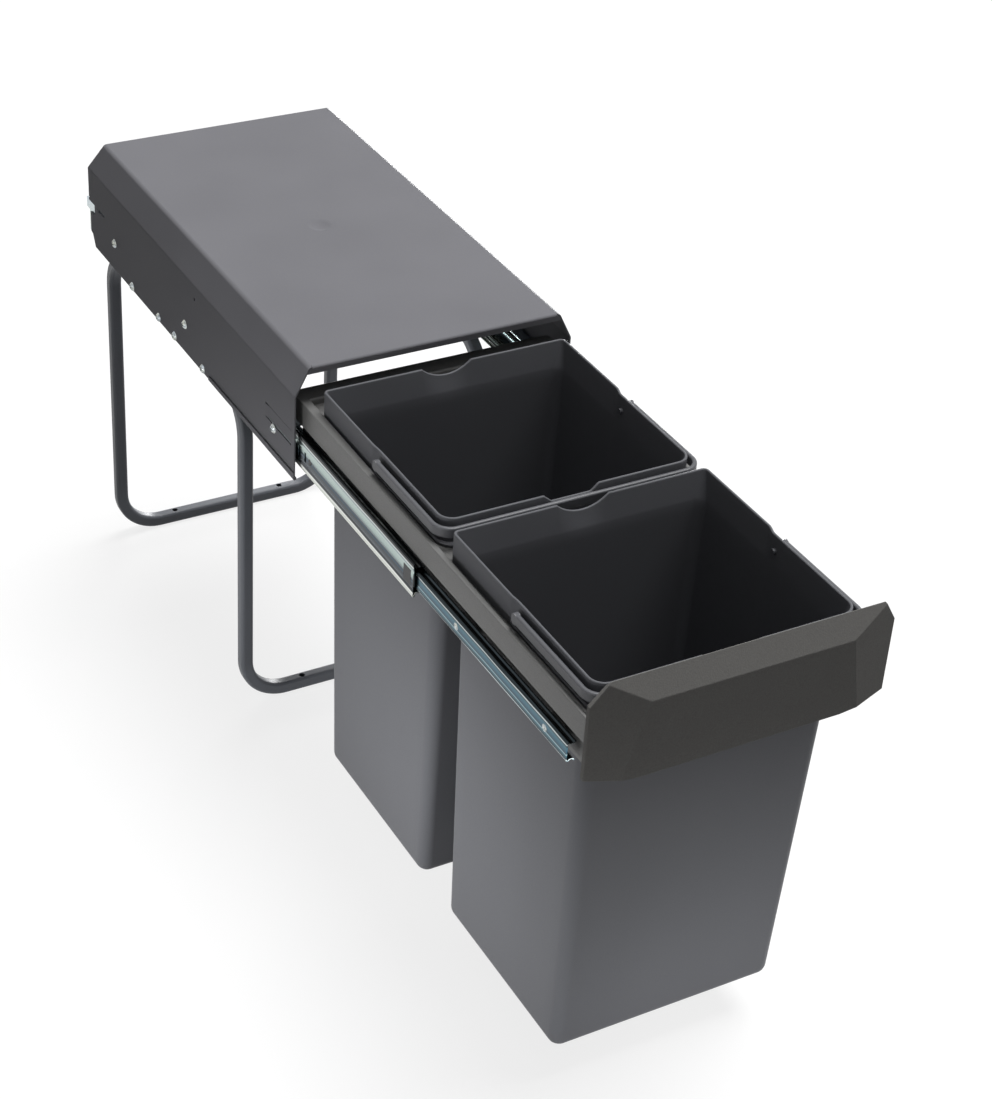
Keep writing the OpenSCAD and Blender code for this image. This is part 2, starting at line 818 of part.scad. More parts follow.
module bin_carrier() {
  color([0.25, 0.255, 0.265])
    difference() {
      union() {
        intersection() {
          carrier_walls();
          translate([0, 0, carrier_z - carrier_h - 1])
            linear_extrude(carrier_h + 2) carrier_plan();
        }
        // ledge
        translate([0, 0, ledge_z - carrier_t])
          linear_extrude(carrier_t)
            difference() {
              round_rect(-step_x - cut, carrier_end + cut, step_x + cut,
                carrier_y - rear_band + cut, ledge_r);
              bin_opening(rear_bin_y);
              bin_opening(front_bin_y);
            }
        // ribs under the bar between the bins
        for (y = [rear_bin_y - bin_l - open_front - carrier_t, front_bin_y - open_rear + carrier_t])
          translate([-open_x, y - carrier_t / 2, ledge_z - rib_h])
            cube([2 * open_x, carrier_t, rib_h]);
        // pads that carry the inner rails
        mirrored_x()
          for (y = pad_y)
            translate([-plate_x + inner_w + rail_t / 2, inner_y + y - pad_l / 2, slide_z - web_top + cut])
              cube([plate_x - inner_w - rail_t / 2 - recess_x + cut, pad_l, 2 * web_top - 2 * cut]);
      }
      mirrored_x()
        for (y = pad_y)
          cross_bore(inner_y + y, slide_z, small_d + 2 * screw_gap, -plate_x + inner_w, rail_screw_l + cut);
      for (x = panel_screw_x)
        translate([x, carrier_end - 1, panel_screw_z])
          rotate([-90, 0, 0]) cylinder(d = small_d + 2 * screw_gap, h = carrier_t + 2);
    }
}

// the panel's solid, in shrinks it by the wall; three outlines crossed: front, side and top
module panel_block(in, back) {
  top_x = flat_x - panel_in - in / 2;
  side_x = panel_w / 2 - in;
  face_x = panel_w / 3;
  z1 = panel_z - in;
  z0 = panel_z - panel_h + in;
  y = panel_y + in;
  front = panel_y - panel_proud - cut;
  intersection() {
    along_y(front, back - front)
      polygon([[-top_x, z1], [-side_x, z1 - shoulder_h], [-side_x, z0 + chin_h], [-face_x, z0],
        [face_x, z0], [side_x, z0 + chin_h], [side_x, z1 - shoulder_h], [top_x, z1]]);
    along_x(-panel_w, 2 * panel_w)
      polygon([[back, z0 - cut], [y - panel_proud + face_lean, z0 - cut],
        [y - panel_proud, panel_z - bevel_h], [y, panel_z], [y, panel_z + cut], [back, panel_z + cut]]);
    translate([0, 0, z0 - cut])
      linear_extrude(panel_h + 2 * cut)
        polygon([[-panel_w / 2, back], [-panel_w / 2, y + edge_y], [-face_x, y - panel_proud],
          [face_x, y - panel_proud], [panel_w / 2, y + edge_y], [panel_w / 2, back]]);
  }
}

module front_panel() {
  color([0.21, 0.21, 0.215])
    difference() {
      union() {
        difference() {
          panel_block(0, carrier_end - panel_gap);
          panel_block(panel_t, carrier_end + cut);
        }
        for (x = panel_screw_x)
          translate([x, carrier_end - panel_gap, panel_screw_z])
            rotate([90, 0, 0]) cylinder(d = panel_boss_d, h = panel_edge + panel_proud - 2 * panel_t);
      }
      for (x = panel_screw_x)
        translate([x, carrier_end + cut, panel_screw_z])
          rotate([90, 0, 0]) cylinder(d = small_d + 2 * screw_gap, h = panel_screw_l + 2 * cut);
    }
}

module panel_screws() {
  color([0.7, 0.72, 0.71])
    for (x = panel_screw_x)
      translate([x, carrier_end + carrier_t, panel_screw_z])
        rotate([90, 0, 0]) {
          cylinder(d = small_d, h = carrier_t + panel_screw_l);
          translate([0, 0, -small_d / 2]) cylinder(d = 2 * small_d, h = small_d / 2);
        }
}

// a bin's tapered body; positions from its rear rim, in shrinks it by the wall
module bin_body(in) {
  rt = bin_r - in;
  rb = bin_r - base_in - in;
  y0 = -bin_back - in;
  y1 = -bin_l + in;
  hull() {
    for (s = [-1, 1]) {
      for (y = [y0 - rt, y1 + rt])
        translate([s * (body_x - in - rt), y, seat_z]) cylinder(r = rt, h = bin_t / 4);
      for (y = [y0 - base_in - rb, y1 + front_taper + rb])
        translate([s * (body_x - side_taper - in - rb), y, bin_z + in + rb]) sphere(r = rb);
    }
  }
}

module bin_wall_plan(in) {
  round_rect(-body_x + in, -bin_l + in, body_x - in, -bin_back - in, bin_r - in);
}

module rim_plan(in) {
  round_rect(-rim_x + in, -bin_l - flange_l + in, rim_x - in, -in, bin_r + flange_r - in);
}

// wide rear part of the rim, in shrinks it by the wall; its front ends slant in to the body's wall
module high_part(in) {
  step = ledge_w + cut;
  x0 = body_x - in - cut;
  x1 = x0 + step;
  y0 = -high_rim_l + in - cut * rim_slope / ledge_w;
  y1 = y0 + step * rim_slope / ledge_w;
  intersection() {
    rim_plan(in);
    polygon([[-x1, cut], [-x1, y1], [-x0, y0], [x0, y0], [x1, y1], [x1, cut]]);
  }
}

module bin() {
  smile_r = (smile_w * smile_w / 4 + smile_in * smile_in) / (2 * smile_in);
  color([0.3, 0.305, 0.315])
    difference() {
      union() {
        bin_body(0);
        translate([0, 0, seat_z]) linear_extrude(low_z - seat_z) bin_wall_plan(0);
        // flange that sits on the carrier's ledge, and the high wall around its rear
        translate([0, 0, seat_z]) linear_extrude(bin_t) rim_plan(0);
        translate([0, 0, seat_z]) linear_extrude(rim_z - seat_z) high_part(0);
      }
      bin_body(bin_t);
      translate([0, 0, seat_z + lap]) linear_extrude(rim_z - seat_z) bin_wall_plan(bin_t);
      translate([0, 0, seat_z + bin_t]) linear_extrude(rim_z - seat_z) high_part(bin_t);
      // finger notches in the rear and the front wall
      translate([0, cut, rim_z - smile_in + smile_r])
        rotate([90, 0, 0]) cylinder(r = smile_r, h = bin_t + 2 * cut);
      along_y(-bin_l - cut, bin_t + 2 * cut)
        polygon([[-notch_w / 2, low_z - notch_in], [notch_w / 2, low_z - notch_in],
          [notch_w / 2 + notch_slope, low_z + cut], [-notch_w / 2 - notch_slope, low_z + cut]]);
      mirrored_x()
        cross_bore(-pivot_y, pivot_z, pivot_d + screw_gap, -body_x - cut, bin_t + 2 * cut);
    }
}

module bail_section(at) {
  round_rect(at, pivot_z - bail_h / 2, at + bail_t, pivot_z + bail_h / 2, bail_edge);
}

module bail() {
  x1 = body_x + bin_gap + bail_t;
  r = bin_r + bail_r;
  color([0.29, 0.295, 0.305]) {
    mirrored_x() {
      along_x(-x1 + r, x1 - r) bail_section(-bail_reach);
      along_y(-bail_reach + r, bail_reach - r - pivot_y) bail_section(-x1);
      translate([-x1 + r, -bail_reach + r, 0])
        rotate([0, 0, 180])
          rotate_extrude(angle = 90) bail_section(r - bail_t);
      cross_bore(-pivot_y, pivot_z, bail_h, -x1, bail_t);
      cross_bore(-pivot_y, pivot_z, pivot_d, -x1 + bail_t - lap, bin_t + bin_gap + cut);
    }
  }
}

top_cover();
front_leg();
rear_leg();
leg_screws();
slide_screws();
outer_rail();  // left_outer_rail
mirror([1, 0, 0]) outer_rail();  // right_outer_rail
middle_rail();  // left_middle_rail
mirror([1, 0, 0]) middle_rail();  // right_middle_rail
middle_stops();  // left_middle_stops
mirror([1, 0, 0]) middle_stops();  // right_middle_stops
outer_cage();  // left_outer_cage
balls(cage_1y, ball_1);  // left_outer_balls
mirror([1, 0, 0]) outer_cage();  // right_outer_cage
mirror([1, 0, 0]) balls(cage_1y, ball_1);  // right_outer_balls
inner_cage();  // left_inner_cage
balls(cage_2y, ball_2);  // left_inner_balls
mirror([1, 0, 0]) inner_cage();  // right_inner_cage
mirror([1, 0, 0]) balls(cage_2y, ball_2);  // right_inner_balls
inner_rail();  // left_inner_rail
mirror([1, 0, 0]) inner_rail();  // right_inner_rail
rail_screws();
bin_carrier();
front_panel();
panel_screws();
translate([0, rear_bin_y, 0]) bin();  // rear_bin
translate([0, front_bin_y, 0]) bin();  // front_bin
translate([0, rear_bin_y, 0]) bail();  // rear_bail
translate([0, front_bin_y, 0]) bail();  // front_bail
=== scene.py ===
import json
import math
from functools import partial

import bmesh
import bpy
import numpy as np
from mathutils import Matrix, Vector


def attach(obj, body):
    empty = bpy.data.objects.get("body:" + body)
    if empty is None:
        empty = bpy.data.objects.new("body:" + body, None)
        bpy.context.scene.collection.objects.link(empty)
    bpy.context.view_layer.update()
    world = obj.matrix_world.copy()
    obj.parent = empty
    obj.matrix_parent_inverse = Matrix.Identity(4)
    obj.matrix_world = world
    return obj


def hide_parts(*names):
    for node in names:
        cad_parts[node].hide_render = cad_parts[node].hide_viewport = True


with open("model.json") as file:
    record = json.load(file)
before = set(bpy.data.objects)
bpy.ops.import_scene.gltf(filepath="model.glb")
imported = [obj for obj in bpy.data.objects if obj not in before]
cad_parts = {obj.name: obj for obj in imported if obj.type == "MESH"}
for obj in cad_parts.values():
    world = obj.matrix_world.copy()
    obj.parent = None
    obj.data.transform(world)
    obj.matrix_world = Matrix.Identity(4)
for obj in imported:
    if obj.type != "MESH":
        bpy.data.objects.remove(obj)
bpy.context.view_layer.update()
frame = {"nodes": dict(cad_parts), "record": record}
scene = bpy.context.scene
scene.view_settings.view_transform = "Standard"
slotOf = {row["node"]: row["material_slot"] for row in frame["record"]["subparts"]}
bodyOf = {node: body for body, nodes in frame["record"]["behaviour"]["bodies"].items() for node in nodes}
mm = 0.001
print("frame loaded:", len(frame["nodes"]), "nodes")


def addObject(name, data):
    made = bpy.data.objects.new(name, data)
    scene.collection.objects.link(made)
    return made


# camera: the photograph's own viewpoint, looking down on the pulled-out drawer
cameraSet = {
    "place": (-0.831, -1.7767, 1.3735),
    "azimuth": -30.948,     # degrees, 0 looks along +Y
    "elevation": 33.975,
    "roll": 3.958,
    "focalPixels": 2415.2,
    "imageHeight": 1099,
    "sensor": 36.0,
    "clipEnd": 50.0,
}


def makeCamera(look):
    a, e, r = (math.radians(look[k]) for k in ("azimuth", "elevation", "roll"))
    back = Vector((math.sin(a) * math.cos(e), -math.cos(a) * math.cos(e), math.sin(e)))
    right = Vector((math.cos(a), math.sin(a), 0))
    up = back.cross(right)
    turnedRight = math.cos(r) * right + math.sin(r) * up
    turnedUp = math.cos(r) * up - math.sin(r) * right
    turn = Matrix((turnedRight, turnedUp, back)).transposed().to_4x4()
    data = bpy.data.cameras.new("camera")
    data.sensor_width = look["sensor"]
    # the picture's long side takes the sensor
    data.lens = look["focalPixels"] * look["sensor"] / look["imageHeight"]
    data.clip_end = look["clipEnd"]
    scene.camera = addObject("camera", data)
    scene.camera.matrix_world = Matrix.Translation(look["place"]) @ turn


makeCamera(cameraSet)
print("camera placed")


# helpers for shader trees

# hex colour to linear light, by the sRGB curve
def tone(hexColour):
    channels = [int(hexColour[i:i + 2], 16) / 255 for i in (1, 3, 5)]
    return tuple(c / 12.92 if c < 0.04045 else ((c + 0.055) / 1.055) ** 2.4 for c in channels) + (1.0,)


# a socket is linked, any other value is set
def setInputs(tree, shaderNode, inputs):
    for name, value in inputs.items():
        if isinstance(value, bpy.types.NodeSocket):
            tree.links.new(value, shaderNode.inputs[name])
        else:
            shaderNode.inputs[name].default_value = value


def addNode(tree, kind, inputs=None, **settings):
    made = tree.nodes.new("ShaderNode" + kind)
    for name, value in settings.items():
        setattr(made, name, value)
    setInputs(tree, made, inputs or {})
    return made


def objectPlace(tree):
    return addNode(tree, "TexCoord").outputs["Object"]


noiseRoughness = 0.55


def noise(tree, scale, detail, stretch=(1, 1, 1)):
    place = addNode(tree, "Mapping", {"Vector": objectPlace(tree), "Scale": stretch}).outputs["Vector"]
    return addNode(tree, "TexNoise", {"Vector": place, "Scale": scale, "Detail": detail,
                                      "Roughness": noiseRoughness}).outputs["Fac"]


# the defaults are the range that noise mostly keeps to
def spread(tree, value, low, high, fromLow=0.3, fromHigh=0.7):
    return addNode(tree, "MapRange", {"Value": value, "From Min": fromLow, "From Max": fromHigh,
                                      "To Min": low, "To Max": high}).outputs["Result"]


def combine(tree, operation, first, second):
    return addNode(tree, "Math", {0: first, 1: second}, operation=operation).outputs[0]


# the Mix node's colours are its inputs 6 and 7 and its output 2
def blendColours(tree, factor, first, second):
    return addNode(tree, "Mix", {0: factor, 6: first, 7: second}, data_type="RGBA").outputs[2]


def bumpFrom(tree, heights, distance):
    return addNode(tree, "Bump", {"Height": heights, "Distance": distance, "Strength": 1.0}).outputs["Normal"]


def startMaterial(name):
    material = bpy.data.materials.new(name)
    material.use_nodes = True
    tree = material.node_tree
    return material, tree, tree.nodes["Principled BSDF"]


# the part of the noise that turns into specks, and into the passage from blue to straw
speckRange = (0.55, 0.75)
tintRange = (0.35, 0.65)


# stoved powder coat: cloudy tone, orange-peel skin
def coatedSteel(name, look):
    material, tree, shader = startMaterial(name)
    cloud = noise(tree, look["cloudScale"], detail=2.0)
    speck = noise(tree, look["speckScale"], detail=1.0)
    peel = noise(tree, look["peelScale"], detail=2.0)
    body = blendColours(tree, spread(tree, cloud, 0, 1), tone(look["dark"]), tone(look["light"]))
    speckFactor = spread(tree, speck, 0, look["speckShare"], *speckRange)
    setInputs(tree, shader, {
        "Base Color": blendColours(tree, speckFactor, body, tone(look["speck"])),
        "Roughness": spread(tree, cloud, *look["roughness"]),
        "Normal": bumpFrom(tree, peel, look["peelDepth"]),
        "Specular IOR Level": look["specular"],
    })
    return material


# moulded plastic: eroded grain, faint flow marks
def mouldedPlastic(name, look):
    material, tree, shader = startMaterial(name)
    flow = noise(tree, look["flowScale"], detail=3.0, stretch=look["flowStretch"])
    grain = noise(tree, look["grainScale"], detail=2.0)
    body = blendColours(tree, spread(tree, flow, 0, 1), tone(look["dark"]), tone(look["light"]))
    pitFactor = spread(tree, grain, 0, look["grainShare"])
    setInputs(tree, shader, {
        "Base Color": blendColours(tree, pitFactor, body, tone(look["pit"])),
        "Roughness": spread(tree, grain, *look["roughness"]),
        "Normal": bumpFrom(tree, grain, look["grainDepth"]),
        "Specular IOR Level": look["specular"],
    })
    return material


# zinc plated steel: drawn lines, passivated blue and straw tints, a grey spangle, which on the screws is made
# large as painted shade on the heads
def platedSteel(name, look):
    material, tree, shader = startMaterial(name)
    drawn = noise(tree, look["drawnScale"], detail=4.0, stretch=look["drawnStretch"])
    tint = noise(tree, look["tintScale"], detail=2.0, stretch=look["tintStretch"])
    # the spangle noise also makes the screws' painted shade
    spangle = noise(tree, look["spangleScale"], detail=2.0)
    tintFactor = spread(tree, tint, 0, 1, *tintRange)
    body = blendColours(tree, tintFactor, tone(look["blue"]), tone(look["straw"]))
    spangleAndShadeFactor = spread(tree, spangle, 0, look["spangleAndShadeShare"])
    setInputs(tree, shader, {
        "Base Color": blendColours(tree, spangleAndShadeFactor, body, tone(look["spangleAndShadeGrey"])),
        "Roughness": spread(tree, drawn, *look["roughness"]),
        "Normal": bumpFrom(tree, drawn, look["drawnDepth"]),
        "Metallic": 1.0,
    })
    return material


# roll-formed rail: bands of colour by height along the strip's folds, mostly painted light. The white and
# pale lines are painted highlights and reflections, the black ones are painted shade on the rail's top and in
# its races, and the blue and teal ones are painted reflection over the zinc's own passivation tint
def railWithPaintedLight(name, look):
    material, tree, shader = startMaterial(name)
    height = addNode(tree, "SeparateXYZ", {0: objectPlace(tree)}).outputs["Z"]
    drawn = noise(tree, look["drawnScale"], detail=4.0, stretch=look["drawnStretch"])
    drift = noise(tree, look["driftScale"], detail=2.0, stretch=look["driftStretch"])
    wander = spread(tree, drift, -look["drift"], look["drift"])
    lowest, highest = look["axisZ"] - look["reach"], look["axisZ"] + look["reach"]
    share = spread(tree, combine(tree, "ADD", height, wander), 0, 1, lowest, highest)
    # the ramp paints highlights, reflections and shade onto the rail by height
    ramp = addNode(tree, "ValToRGB", {"Fac": share})
    steps = ramp.color_ramp.elements
    first, *middle, last = look["paintedLightBands"]
    for place, colour in middle:
        steps.new(place).color = tone(colour)
    steps[0].color, steps[len(steps) - 1].color = tone(first[1]), tone(last[1])
    wornFactor = spread(tree, drawn, 0, look["wornShare"])
    setInputs(tree, shader, {
        "Base Color": blendColours(tree, wornFactor, ramp.outputs["Color"], tone(look["worn"])),
        "Roughness": spread(tree, drawn, *look["roughness"]),
        "Normal": bumpFrom(tree, drawn, look["drawnDepth"]),
        "Metallic": 1.0,
    })
    return material


railLook = {
    "axisZ": 0.34535, "drawnScale": 900.0, "drawnStretch": (1, 0.02, 1), "drawnDepth": 0.00002,
    "driftScale": 45.0, "driftStretch": (1, 0.25, 1), "drift": 0.0006,
    "worn": "#8d979b", "wornShare": 0.1, "roughness": (0.16, 0.28),
}
# each band: share of the rail's height from below, colour; the colours are painted highlights, reflections
# and shade over the zinc's own tints
railPaintedLight = {
    "middle_rail": railWithPaintedLight("middleRail", railLook | {"reach": 0.0151, "paintedLightBands": [
        (0, "#d9dbd2"), (0.09, "#c3c7c1"), (0.14, "#e9ebe6"), (0.18, "#141a20"), (0.25, "#1b232b"),
        (0.33, "#39434c"), (0.38, "#262e36"), (0.42, "#0d0f12"), (0.46, "#4a5b68"), (0.5, "#242c34"),
        (0.55, "#5f6f74"), (0.62, "#98a8a4"), (0.76, "#b3c1bc"), (0.84, "#76868a"), (0.88, "#d9dfdc"),
        (0.91, "#1d2124"), (0.95, "#0b0c0d"), (1, "#111314")]}),
    "inner_rail": railWithPaintedLight("innerRail", railLook | {"reach": 0.0086, "paintedLightBands": [
        (0, "#3d484e"), (0.06, "#9db0b6"), (0.11, "#cdd7d8"), (0.15, "#1a262d"), (0.24, "#2b4852"),
        (0.33, "#416975"), (0.37, "#9fb4ba"), (0.41, "#24404b"), (0.55, "#34586a"), (0.7, "#3f6875"),
        (0.8, "#24363f"), (0.85, "#d3dcdc"), (0.89, "#14181a"), (0.95, "#2a3236"), (1, "#15191b")]}),
}
finishes = {
    "cover_paint": coatedSteel("coverPaint", {
        "dark": "#6c6c70", "light": "#727276", "speck": "#7e7e82", "speckShare": 0.2,
        "cloudScale": 7.0, "speckScale": 1400.0, "peelScale": 900.0, "peelDepth": 0.00005,
        "roughness": (0.42, 0.5), "specular": 0.02}),
    "leg_paint": coatedSteel("legPaint", {
        "dark": "#62656b", "light": "#696c72", "speck": "#7b7e85", "speckShare": 0.2,
        "cloudScale": 11.0, "speckScale": 1500.0, "peelScale": 1000.0, "peelDepth": 0.00004,
        "roughness": (0.38, 0.46), "specular": 0.3}),
    "carrier_plastic": mouldedPlastic("carrierPlastic", {
        "dark": "#626261", "light": "#686867", "pit": "#555555",
        "flowScale": 5.0, "flowStretch": (1, 0.3, 1),
        "grainScale": 1300.0, "grainShare": 0.35, "grainDepth": 0.00006,
        "roughness": (0.42, 0.52), "specular": 0.5}),
    "panel_plastic": mouldedPlastic("panelPlastic", {
        "dark": "#6e6d6b", "light": "#747371", "pit": "#5e5d5b",
        "flowScale": 6.0, "flowStretch": (1, 1, 1),
        "grainScale": 900.0, "grainShare": 0.45, "grainDepth": 0.00012,
        "roughness": (0.5, 0.62), "specular": 0.03}),
    "bin_plastic": mouldedPlastic("binPlastic", {
        "dark": "#5e5f63", "light": "#646569", "pit": "#545558",
        "flowScale": 4.0, "flowStretch": (1, 1, 0.25),
        "grainScale": 1500.0, "grainShare": 0.3, "grainDepth": 0.00004,
        "roughness": (0.4, 0.48), "specular": 0.1}),
    "bail_plastic": mouldedPlastic("bailPlastic", {
        "dark": "#4b4c50", "light": "#525357", "pit": "#434448",
        "flowScale": 9.0, "flowStretch": (1, 0.5, 1),
        "grainScale": 1500.0, "grainShare": 0.3, "grainDepth": 0.00004,
        "roughness": (0.38, 0.46), "specular": 0.45}),
    "stop_plastic": mouldedPlastic("stopPlastic", {
        "dark": "#121315", "light": "#17181a", "pit": "#0b0c0d",
        "flowScale": 40.0, "flowStretch": (1, 1, 1),
        "grainScale": 2000.0, "grainShare": 0.3, "grainDepth": 0.00004,
        "roughness": (0.4, 0.5), "specular": 0.5}),
    "zinc_rails": platedSteel("zincRail", {
        "blue": "#b9c6d0", "straw": "#c9d0c2", "spangleAndShadeGrey": "#a9b0b2",
        "drawnScale": 900.0, "drawnStretch": (1, 0.02, 1), "drawnDepth": 0.00002,
        "tintScale": 60.0, "tintStretch": (1, 0.15, 1),
        "spangleScale": 300.0, "spangleAndShadeShare": 0.4, "roughness": (0.16, 0.28)}),
    # screws: large dark grey blotches over most of each head, painted shade standing in for the heads' shaded
    # rims and recesses
    "zinc_screws": platedSteel("zincScrew", {
        "blue": "#c6cfd4", "straw": "#d3d5c8", "spangleAndShadeGrey": "#53575b",
        "drawnScale": 1500.0, "drawnStretch": (1, 1, 1), "drawnDepth": 0.00001,
        "tintScale": 200.0, "tintStretch": (1, 1, 1),
        "spangleScale": 420.0, "spangleAndShadeShare": 0.8, "roughness": (0.2, 0.32)}),
    "cage_steel": platedSteel("cageSteel", {
        "blue": "#9fa6a8", "straw": "#a9aca6", "spangleAndShadeGrey": "#8c9192",
        "drawnScale": 700.0, "drawnStretch": (1, 0.05, 1), "drawnDepth": 0.00002,
        "tintScale": 90.0, "tintStretch": (1, 0.3, 1),
        "spangleScale": 500.0, "spangleAndShadeShare": 0.5, "roughness": (0.28, 0.4)}),
    "ball_steel": platedSteel("ballSteel", {
        "blue": "#d7dbde", "straw": "#dadcd8", "spangleAndShadeGrey": "#c8cccd",
        "drawnScale": 3000.0, "drawnStretch": (1, 1, 1), "drawnDepth": 0.000004,
        "tintScale": 300.0, "tintStretch": (1, 1, 1),
        "spangleScale": 1200.0, "spangleAndShadeShare": 0.3, "roughness": (0.06, 0.12)}),
}
print("finishes made:", len(railPaintedLight) + len(finishes))


# a shell stands in for its node, on the same body and in the same slot
def standIn(piece, node):
    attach(piece, bodyOf[node])
    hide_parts(node)


# a bin: one closed shell, millimetres from the middle of its rear rim
binShape = {
    "body": (106.0, -195.0, -5.0, 12.0, 12.0),     # half width, front, rear, front and rear corner radius
    "rim": (110.1, -208.0, 0.0, 15.0, 5.0),
    "low": (108.4, -203.5, 0.0, 13.0, 5.0),        # wall inside the bail
    "foot": (99.0, -181.0, -7.0, 10.0, 10.0),
    "wall": 2.2, "footZ": 37.0, "footRound": 10.0, "seatFlare": 0.2,
    "seatZ": 380.75, "lowZ": 404.0, "highZ": 405.0,
    "flangeRound": 0.5, "flangeMid": 0.15,
    "rampFrom": -97.5, "rampTo": -86.0,      # slant where the wall steps in for the bail
    "smile": (22.0, 9.0), "notch": (17.0, 24.0, 6.0),
    "pivot": (-103.0, 392.0, 2.5), "patch": 4.2,
    "place": {"rear_bin": -292.0, "front_bin": -510.0},
}

# how finely a bin's shell is divided: numbers of points, shares of a height, millimetres and degrees
binSteps = {
    "sideFront": 9, "sideMiddle": 3, "ramp": 15, "sideRear": 7,
    "patch": 5, "notch": 4, "betweenNotches": 7, "smile": 25, "shoulder": 60.0,
    "corner": 11, "footRound": 8, "rimRound": 9,
    "taper": (0.33, 0.67, 0.97, 1.0), "wallFoot": (0.02, 0.12),
    "slack": 0.01, "leastRadius": 0.4, "sharp": 40.0,
}


def mergeRuns(*runs):
    return np.unique(np.concatenate(runs).round(4))


# where the columns stand around the bin: shares of each straight side, and the angles in a corner
def binColumns(shape, steps):
    halfX, front, rear, frontR, rearR = shape["low"]
    y0, y1 = front + frontR, rear - rearR
    rampFrom, rampTo = shape["rampFrom"], shape["rampTo"]
    holeY = shape["pivot"][0] + np.linspace(-1, 1, steps["patch"]) * shape["patch"]
    sideY = mergeRuns(
        np.linspace(y0, holeY[0], steps["sideFront"]), holeY,
        np.linspace(holeY[-1], rampFrom, steps["sideMiddle"]),
        np.linspace(rampFrom, rampTo, steps["ramp"]), np.linspace(rampTo, y1, steps["sideRear"]))
    frontReach, rearReach = halfX - frontR, halfX - rearR
    shoulders = (-steps["shoulder"], steps["shoulder"])
    low, high, _ = shape["notch"]
    notchX = np.linspace(low, high, steps["notch"])
    frontX = mergeRuns((-frontReach, frontReach), shoulders, notchX, -notchX,
                       np.linspace(-low, low, steps["betweenNotches"]))
    smileX = shape["smile"][0]
    rearX = mergeRuns((-rearReach, rearReach), shoulders, np.linspace(-smileX, smileX, steps["smile"]))
    shares = [(frontX + frontReach) / (2 * frontReach), (sideY - y0) / (y1 - y0),
              (rearReach - rearX[::-1]) / (2 * rearReach), (y1 - sideY[::-1]) / (y1 - y0)]
    return shares, np.radians(np.linspace(0, 90, steps["corner"]))[1:-1]


# a rounded rectangle at those columns: straight sides joined by quarter circles
def roundedPlan(plan, columns):
    halfX, front, rear, frontR, rearR = plan
    shares, turns = columns
    radii = (frontR, rearR, rearR, frontR)
    corners = np.array([[halfX - frontR, front + frontR], [halfX - rearR, rear - rearR],
                        [-halfX + rearR, rear - rearR], [-halfX + frontR, front + frontR]])
    points = []
    for side in range(4):
        facing = math.radians(-90 + 90 * side)
        out = np.array([math.cos(facing), math.sin(facing)])
        start, end = corners[side - 1] + radii[side - 1] * out, corners[side] + radii[side] * out
        points.append(start + shares[side][:, None] * (end - start))
        angles = facing + turns
        points.append(corners[side] + radii[side] * np.stack([np.cos(angles), np.sin(angles)], axis=1))
    return np.concatenate(points)


# 0 to 1 with level ends: three times the square less twice the cube
def easeStep(share):
    share = np.clip(share, 0, 1)
    return share * share * (3 - 2 * share)


def between(first, second, share):
    return first + np.reshape(share, (-1, 1)) * (second - first)


